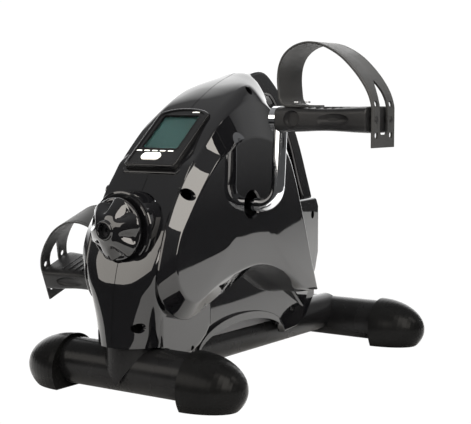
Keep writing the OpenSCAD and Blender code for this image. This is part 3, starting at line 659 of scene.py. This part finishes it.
def taper(obj):
    """Narrows the rear box towards its back."""
    return shear(obj, 1, TAPER, TAPER_FROM_Y)


def hollow_half():
    """One half of the shell on the +X side, before its screw holes."""
    half = body_skin()
    boss = lathe("boss", [(0, 30), (0, 33.6), (0.5, 34.4), (1.6, 34.6), (1.8, 36.2), (2.6, BOSS_R),
                          (22, BOSS_R)], AXIS_Y, (0, BOSS_FRONT, KNOB_Z), 96)
    lip = in_console(plate("lip", case_outline(-3.6, 93), -8, 1.5, 1.2))
    ledge = in_console(bevel(block("ledge", (-23, -8.6, -12), (23, 2, -2.6)), 0.9))
    join(half, neck(),
         slab("low_front", LOW_FRONT, LOW_START, LOW_FRONT_X, 6, 5),
         lean(slab("low_rear", LOW_REAR, LOW_START, LOW_REAR_X, 2)),
         slab("arch_rim", ARCH_RIM, 20, RIM_X, 0.8, 2),
         taper(slab("rear_box", REAR_BOX, LOW_START, REAR_BOX_X, 4, 4)),
         slab("handle", smooth(HANDLE, 4, HANDLE_CORNERS), -30, HANDLE_X, 8, 6),
         boss, lip, ledge)
    cut(half, body_room(), neck(WALL, 2),
        slab("front_room", inset(LOW_FRONT, WALL), LOW_START, LOW_FRONT_X - WALL),
        lean(slab("rear_room", inset(LOW_REAR, WALL), LOW_START, LOW_REAR_X - WALL)),
        taper(slab("box_room", inset(REAR_BOX, WALL), LOW_START, REAR_BOX_X - WALL)),
        rod("boss_room", BOSS_R - WALL, (0, BOSS_FRONT + WALL, KNOB_Z), (0, -160, KNOB_Z)),
        in_console(plate("console_room", case_outline(-0.4), -14.3, 60)))
    return half


def shell_half(half, side):
    """Screw bosses and holes of one half; side is 1 for the right one and -1 for the left."""
    posts = [rod("post", 6, (0, y, z), (x - 1.4, y, z), 24) for y, z, x, _ in SCREWS]
    posts.append(rod("post", 5, (18.2, *SIDE_SCREW), (27, *SIDE_SCREW), 24))
    join(half, *posts)
    cuts = [block("other_side", (-100, -400, -10), (PARTING, 400, 500)),
            block("front_slot", (-10, -230, -10), (90, FRONT_Y, 53)),
            rod("front_tube", FRONT_R, (-10, FRONT_Y, FRONT_Z), (90, FRONT_Y, FRONT_Z), 96),
            block("frame_slot", (-10, -157, 20), (26, 71, 39)),
            block("plate_slot", (-10, -122, 20), (26, 48, 62)),
            rod("spine", SPINE_R + 1, (0, -200, SPINE_Z), (0, 120, SPINE_Z), 64),
            rod("saddle", SADDLE_R, (0, FRONT_Y, -10), (0, FRONT_Y, 57), 64),
            lathe("hub", [(0, HUB_R - 1), (19.6, HUB_R - 1), (22, HUB_R + 0.6), (40, HUB_R + 0.6)],
                  AXIS_X, (40, CRANK.y, CRANK.z), 64),
            rod("knob_hole", 6, (0, -260, KNOB_Z), (0, -180, KNOB_Z)),
            rod("side_head", 4.6, (24, *SIDE_SCREW), (50, *SIDE_SCREW)),
            rod("side_hole", SCREW_R, (0, *SIDE_SCREW), (50, *SIDE_SCREW)),
            rod("low_hole", 2.6, (30, -137, 44), (60, -137, 44))]
    for y, z, x, head in SCREWS:
        cuts.append(rod("screw", SCREW_R, (-5, y, z), (70 if side > 0 else x - 5, y, z), 24))
        if side > 0:
            cuts.append(rod("screw_head", head, (14.2, y, z), (90, y, z), 40))
    cut(half, *cuts)
    if side < 0:
        transform(half, Matrix.Diagonal((-1, 1, 1, 1)))
    node = "right_shell" if side > 0 else "left_shell"
    half.name = node + "_gloss"
    finish_piece(half, "frame", [node], "shell_gloss", 30)


right_half = hollow_half()
left_half = twin(right_half, "left_half")
shell_half(right_half, 1)
shell_half(left_half, -1)

# ---- pedals and straps -------------------------------------------------------------

PEDAL_X, PEDAL_LEN, PEDAL_W, PEDAL_T = 101, 104, 56, 26
PEDAL_END = [(0, 4), (0.5, 1.4), (1.6, 0)]      # distance from either end, and how much slimmer
WAIST_W, WAIST_T, WAIST_STEPS = 0.16, 0.12, 32
SECTION_POINTS, SECTION_SQUARE = 56, 5.0
RIBS, RIB_START, RIB_PITCH, RIB_W, RIB_HALF = 7, 33, 9, 3, 17
PEG_Y = 15


def pedal_section(x, w, t):
    """Cross-section of the tread block: a squarish oval w wide and t thick."""
    ring = []
    for i in range(SECTION_POINTS):
        a = 2 * math.pi * i / SECTION_POINTS
        c, s = math.cos(a), math.sin(a)
        ring.append((x, w / 2 * math.copysign(abs(c)**(2 / SECTION_SQUARE), c),
                     t / 2 * math.copysign(abs(s)**(2 / SECTION_SQUARE), s)))
    return ring


def pedal():
    """Waisted tread block along +X with thumb dimples, long finger recesses and cross ribs."""
    last = PEDAL_X + PEDAL_LEN
    rings = [pedal_section(PEDAL_X + d, PEDAL_W - less, PEDAL_T - less) for d, less in PEDAL_END]
    for k in range(1, WAIST_STEPS):
        s = k / WAIST_STEPS
        pinch = math.sin(math.pi * s)**2
        rings.append(pedal_section(PEDAL_X + PEDAL_LEN * s, PEDAL_W * (1 - WAIST_W * pinch),
                                   PEDAL_T * (1 - WAIST_T * pinch)))
    rings += [pedal_section(last - d, PEDAL_W - less, PEDAL_T - less)
              for d, less in reversed(PEDAL_END)]
    body = loft("pedal", rings)
    ribs = []
    for i in range(RIBS):
        x = PEDAL_X + RIB_START + i * RIB_PITCH
        ribs.append(bevel(block("rib", (x, -RIB_HALF, PEDAL_T / 2 - 3),
                                (x + RIB_W, RIB_HALF, PEDAL_T / 2 - 0.4)), 0.5, 2))
    pegs = [lathe("peg", [(0, 3), (8, 3), (8.6, 2.5)], AXIS_X, (last - 3, y, 0), 32)
            for y in (-PEG_Y, PEG_Y)]
    join(body, *ribs, *pegs)
    cuts = [rod("bore", 8, (PEDAL_X - 1, 0, 0), (last - 8, 0, 0), 64)]
    bulge = [math.pi * (i / 12 - 0.5) for i in range(13)]
    for side in (-1, 1):
        cuts.append(lathe("dimple", [(-3.2, 7), (-1.2, 8.2), (0.4, 8.9), (6, 9.2)], (0, side, 0),
                          (PEDAL_X + 20, side * (PEDAL_W / 2 - 2.6), 0), 48))
        recess = lathe("recess", [(4.5 * math.sin(a), max(0.3, math.cos(a))) for a in bulge],
                       (0, side, 0), (0, 0, 0), 40)
        transform(recess, Matrix.Translation((PEDAL_X + 64, side * (PEDAL_W * 0.42 + 2.6), 0))
                  @ Matrix.Diagonal((21, 1, 6.4, 1)))
        cuts.append(recess)
    return cut(body, *cuts)


STRAP_W, STRAP_T = 46, 2.2
STRAP_PATH = [(130, 14.05), (118, 14.1), (109.5, 15.2), (105.6, 20), (104.4, 27), (103.4, 40),
              (104.8, 52), (109.5, 62), (117.5, 69), (127, 73), (138, 74.4), (150, 72.5),
              (162, 67.5), (174, 60), (185, 50), (195, 38.5), (203, 26), (207.2, 14), (207.6, 6),
              (207.6, -10), (207.6, -27)]
STRAP_SLOT = [(-8, -11), (-5.5, -14.5), (5.5, -14.5), (8, -11), (8, 18), (6.6, 26), (3.8, 33),
              (0, 38.5), (-3.8, 33), (-6.6, 26), (-8, 18)]
STRAP_END_X = (186, 190, 225)       # where the slot and the peg holes start, and where they end


def ribbon_section(point, normal, half, thick):
    """Cross-section of the strap: round edges and a fine groove near each on the outer face."""
    shape = [(-half + 0.7, 0), (half - 0.7, 0), (half, 0.7), (half, thick - 0.6),
             (half - 0.5, thick), (half - 2.6, thick), (half - 3.1, thick - 0.5),
             (half - 3.6, thick), (0, thick), (-half + 3.6, thick), (-half + 3.1, thick - 0.5),
             (-half + 2.6, thick), (-half + 0.5, thick), (-half, thick - 0.6), (-half, 0.7)]
    return [(point[0] + normal.x * h, y, point[1] + normal.y * h) for y, h in shape]


def strap():
    """Rubber strap from the tread over the foot and down the far end, with holes and a slot."""
    path = smooth(STRAP_PATH, 5, closed=False)
    rings = []
    for i, point in enumerate(path):
        a, b = Vector(path[max(i - 1, 0)]), Vector(path[min(i + 1, len(path) - 1)])
        along = (b - a).normalized()
        rings.append(ribbon_section(point, Vector((-along.y, along.x)), STRAP_W / 2, STRAP_T))
    body = loft("strap", rings)
    slot_x, hole_x, end_x = STRAP_END_X
    cuts = [slab("slot", STRAP_SLOT, slot_x, end_x)]
    for z in (-15, 0, 15):
        for y in (-PEG_Y, PEG_Y):
            cuts.append(rod("hole", 3.3, (hole_x, y, z), (end_x, y, z), 32))
    return cut(body, *cuts)


def place(obj, right):
    """Moves a piece drawn on the right pedal axis to its own pedal."""
    if right:
        return transform(obj, Matrix.Translation((0, RIGHT_PEDAL.y, RIGHT_PEDAL.z)))
    turn = Matrix.Rotation(LEFT_TILT, 4, "X") @ Matrix.Diagonal((-1, 1, 1, 1))
    return transform(obj, Matrix.Translation((0, LEFT_PEDAL.y, LEFT_PEDAL.z)) @ turn)


def pedal_side(name, right, tread, band):
    """Finishes the tread and the strap of one pedal, which turn with it."""
    rider = name + "_pedal_body"
    finish_piece(place(tread, right), rider, [name + "_pedal"], "pedal_plastic")
    finish_piece(place(band, right), rider, [name + "_strap"], "strap_rubber")


first_pedal, first_strap = pedal(), strap()
pedal_side("left", False, twin(first_pedal, "left_tread"), twin(first_strap, "left_band"))
pedal_side("right", True, first_pedal, first_strap)

# ---- knob --------------------------------------------------------------------------

KNOB_FRONT, KNOB_BACK = -229.5, -207.4
FLUTES, FLUTE_DEPTH, FLUTE_POWER = 6, 0.24, 1.7


def lobes(angle, d):
    """Scale of the knob's radius: flutes that deepen from its dome and ease off at its rim."""
    depth = FLUTE_DEPTH * smooth_step(d, 3, 11) * (1 - 0.35 * smooth_step(d, 15.5, 18.5))
    wave = 0.5 - 0.5 * math.cos(FLUTES * (angle - math.pi / 2))
    return 1 - depth * wave**FLUTE_POWER


def knob():
    """Domed tension knob with six lobes, a collar round its screw and a plain ring behind."""
    front = (0, KNOB_FRONT, KNOB_Z)
    profile = [(0, 8), (0.3, 9), (1, 9.5), (2.6, 9.8), (3.3, 10.6), (4.1, 12.9), (5.2, 15.3),
               (6.6, 17.9), (8.2, 20.4), (10, 23), (12, 25.5), (14, 27.8), (15.6, 29.6),
               (16.6, 30.8), (17.4, 31.4), (18.4, 31.5), (19, 31.2)]
    body = lathe("knob", profile, AXIS_Y, front, 180, lobes)
    ring = lathe("ring", [(18.2, 28), (18.6, 30), (19.2, 30.6), (21.2, 30.6), (21.9, 29.8),
                          (22.1, 28.6)], AXIS_Y, front, 120)
    join(body, ring)
    cut(body, lathe("bore", [(-1, 7.1), (0, 6.7), (0.6, 6.2), (9, 6.1)], AXIS_Y, front, 64),
        rod("stem_hole", 4.02, front, (0, KNOB_BACK + 10, KNOB_Z)))
    finish_piece(body, "knob", ["tension_knob"], "shell_gloss", 50)


knob()

# ---- display unit ------------------------------------------------------------------

WINDOW_W, WINDOW_H, WINDOW_AT = 45, 50, (-1.5, 52)
BUTTON_W, BUTTON_H, BUTTON_AT = 24, 10.4, (-4.5, 14.5)
BUTTON_EDGE = [(3, 0), (7.2, 0), (7.5, 0.12), (7.7, 0.4), (7.85, 1), (7.9, 2)]  # height, inset
BAR_Z = (6.7, 6.95)                 # printed bars, just proud of the face


def rounded_box(half_w, half_h, r, cx, cy, steps=6):
    """Outline of a rectangle with round corners about a centre."""
    points = []
    for sx, sy, start in ((1, 1, 0), (-1, 1, 90), (-1, -1, 180), (1, -1, 270)):
        for i in range(steps + 1):
            a = math.radians(start + 90 * i / steps)
            points.append((cx + sx * (half_w - r) + r * math.cos(a),
                           cy + sy * (half_h - r) + r * math.sin(a)))
    return points


def window_outline(margin, r):
    """Outline of the display's window, moved outwards by a margin."""
    return rounded_box(WINDOW_W / 2 + margin, WINDOW_H / 2 + margin, r, *WINDOW_AT)


def bar(half_w, x, y):
    return plate("bar", rounded_box(half_w, 0.7, 0.6, x, y, 3), *BAR_Z)


def console():
    """Case of the display unit: double lip, sunk face, window and button surround."""
    case = plate("console_case", case_outline(0), -11.8, 8, 2.4, 5)
    button_hole = rounded_box(BUTTON_W / 2 + 0.3, BUTTON_H / 2 + 0.3, BUTTON_H / 2 + 0.29,
                              *BUTTON_AT, 10)
    cut(case, plate("sunk_face", case_outline(3.2), 6.8, 12),
        plate("case_room", case_outline(2.2), -12, 5.2),
        plate("window", window_outline(0, 2), 2, 20),
        plate("button_hole", button_hole, 0, 20))
    frame_line = plate("frame_line", window_outline(1.8, 3), 6.6, 7.3, 0.3, 2)
    cut(frame_line, plate("inner_line", window_outline(0.6, 2.4), 6, 9))
    join(case, frame_line)
    finish_piece(in_console(case), "frame", ["console_housing"], "console_plastic")
    bars = [bar(3.4, BUTTON_AT[0] + x, 22.9) for x in (-20, -10, 0, 10, 20)]
    marks = bar(4.6, 14, 82.6)
    marks.name = "mark_bars"
    join(marks, *bars)
    finish_piece(in_console(marks), "frame", [], "button_white")
    rings = []
    for z, d in BUTTON_EDGE:
        outline = rounded_box(BUTTON_W / 2 - d, BUTTON_H / 2 - d, BUTTON_H / 2 - d - 0.05,
                              *BUTTON_AT, 14)
        rings.append([(x, y, z) for x, y in outline])
    button = loft("button_cap", rings)
    finish_piece(in_console(button), "button", ["mode_button"], "button_white")


console()

# ---- carried-over nodes --------------------------------------------------------------


def dress_nodes():
    """Gives every CAD node the procedural material of its slot."""
    for part in frame["record"]["subparts"]:
        mesh = frame["nodes"][part["node"]].data
        mesh.materials.clear()
        mesh.materials.append(MATERIALS[part["material_slot"]])


dress_nodes()

# ---- floor and light -------------------------------------------------------------------

# The floor ends in front and to the right, so that the gloss there mirrors the dim room.
FLOOR = [(-900, -430), (540, -430), (650, 600), (720, 950), (850, 1350), (1000, 1900),
         (-2500, 1900), (-2500, -430)]
WHITE = 1.02            # just over full white, so that the camera sees no trace of grey


def for_camera(tree, other_rays, camera_rays, surface):
    """Shows one shader to the camera and another one to all other rays."""
    pick = tree.nodes.new("ShaderNodeMixShader")
    ray = tree.nodes.new("ShaderNodeLightPath")
    tree.links.new(ray.outputs["Is Camera Ray"], pick.inputs["Fac"])
    tree.links.new(other_rays, pick.inputs[1])
    tree.links.new(camera_rays, pick.inputs[2])
    tree.links.new(pick.outputs["Shader"], surface)


def floor():
    """Plain pale floor; the camera sees it evenly white, as in a cut-out picture."""
    obj = make("floor", [(x, y, 0) for x, y in FLOOR], [tuple(range(len(FLOOR)))])
    mat, tree, shader, where = new_material("floor_white", (0.75, 0.75, 0.75), 0.9, specular=0.0)
    tree.links.new(blend_color(tree, noise(tree, where, 3), (0.73, 0.73, 0.73), (0.77, 0.77, 0.77)),
                   shader.inputs["Base Color"])
    white = tree.nodes.new("ShaderNodeEmission")
    white.inputs["Strength"].default_value = WHITE
    for_camera(tree, shader.outputs["BSDF"], white.outputs["Emission"],
               tree.nodes["Material Output"].inputs["Surface"])
    obj.data.materials.append(mat)


def softbox(name, at, target, width, height, radiance, color=(1, 1, 1)):
    """Rectangular lamp at a place, facing a target; radiance is how bright its face looks."""
    data = bpy.data.lights.new(name, "AREA")
    data.shape = "RECTANGLE"
    data.size, data.size_y = width * MM, height * MM
    data.energy = radiance * math.pi * data.size * data.size_y
    data.color = color
    obj = bpy.data.objects.new(name, data)
    obj.location = Vector(at) * MM
    obj.rotation_euler = ((Vector(at) - Vector(target)).to_track_quat("Z", "Y")).to_euler()
    obj.visible_camera = False
    bpy.context.scene.collection.objects.link(obj)
    return obj


ROOM_LIGHT = 0.1        # radiance of the room outside its soft discs of light
# Direction of each disc, cosine at its rim, cosine where it is full, radiance.
ROOM_DISCS = [((-0.56, 0.8, 0.15), 0.75, 0.86, 2.5), ((0.53, 0.79, 0.3), 0.925, 0.985, 0.52),
              ((0, 0, 1), 0.1, 1, 0.4)]


def room_disc(tree, where, centre, rim, full, radiance):
    """Brightness of a soft disc of the room round a direction."""
    node = tree.nodes.new("ShaderNodeVectorMath")
    node.operation = "DOT_PRODUCT"
    node.inputs[1].default_value = Vector(centre).normalized()
    tree.links.new(where, node.inputs[0])
    return spread(tree, node.outputs["Value"], 0, radiance, rim, full)


def surroundings():
    """White behind the object for the camera; a dim room with soft discs for all other rays."""
    world = bpy.data.worlds.new("studio")
    bpy.context.scene.world = world
    world.use_nodes = True
    tree = world.node_tree
    tree.nodes.clear()
    where = tree.nodes.new("ShaderNodeTexCoord").outputs["Generated"]
    total = room_disc(tree, where, *ROOM_DISCS[0])
    for disc in ROOM_DISCS[1:]:
        add = tree.nodes.new("ShaderNodeMath")
        tree.links.new(total, add.inputs[0])
        tree.links.new(room_disc(tree, where, *disc), add.inputs[1])
        total = add.outputs["Value"]
    base = tree.nodes.new("ShaderNodeMath")
    base.inputs[1].default_value = ROOM_LIGHT
    tree.links.new(total, base.inputs[0])
    room, white = (tree.nodes.new("ShaderNodeBackground") for _ in range(2))
    room.inputs["Color"].default_value = (1, 1, 1, 1)
    tree.links.new(base.outputs["Value"], room.inputs["Strength"])
    white.inputs["Color"].default_value = (WHITE, WHITE, WHITE, 1)
    out = tree.nodes.new("ShaderNodeOutputWorld")
    for_camera(tree, room.outputs["Background"], white.outputs["Background"],
               out.inputs["Surface"])

WARM = (1, 0.95, 0.88)
floor()
surroundings()
# Name, place, target, width, height, radiance, colour.
softbox("key", (1509, -855, 1309), (338, 495, 259), 1160, 1900, 9, WARM)
fill = softbox("fill", (300, 500, 2400), (300, 500, 0), 1600, 1600, 11)
fill.visible_glossy = False         # lights the floor and matt faces, and is not reflected
softbox("rear_right", (1765, 590, 1720), (0, 0, 150), 500, 700, 9, WARM)
softbox("front_window", (-390, -1555, 760), (-60, -205, 130), 2000, 800, 4.5, WARM)
bpy.context.scene.view_settings.view_transform = "Standard"
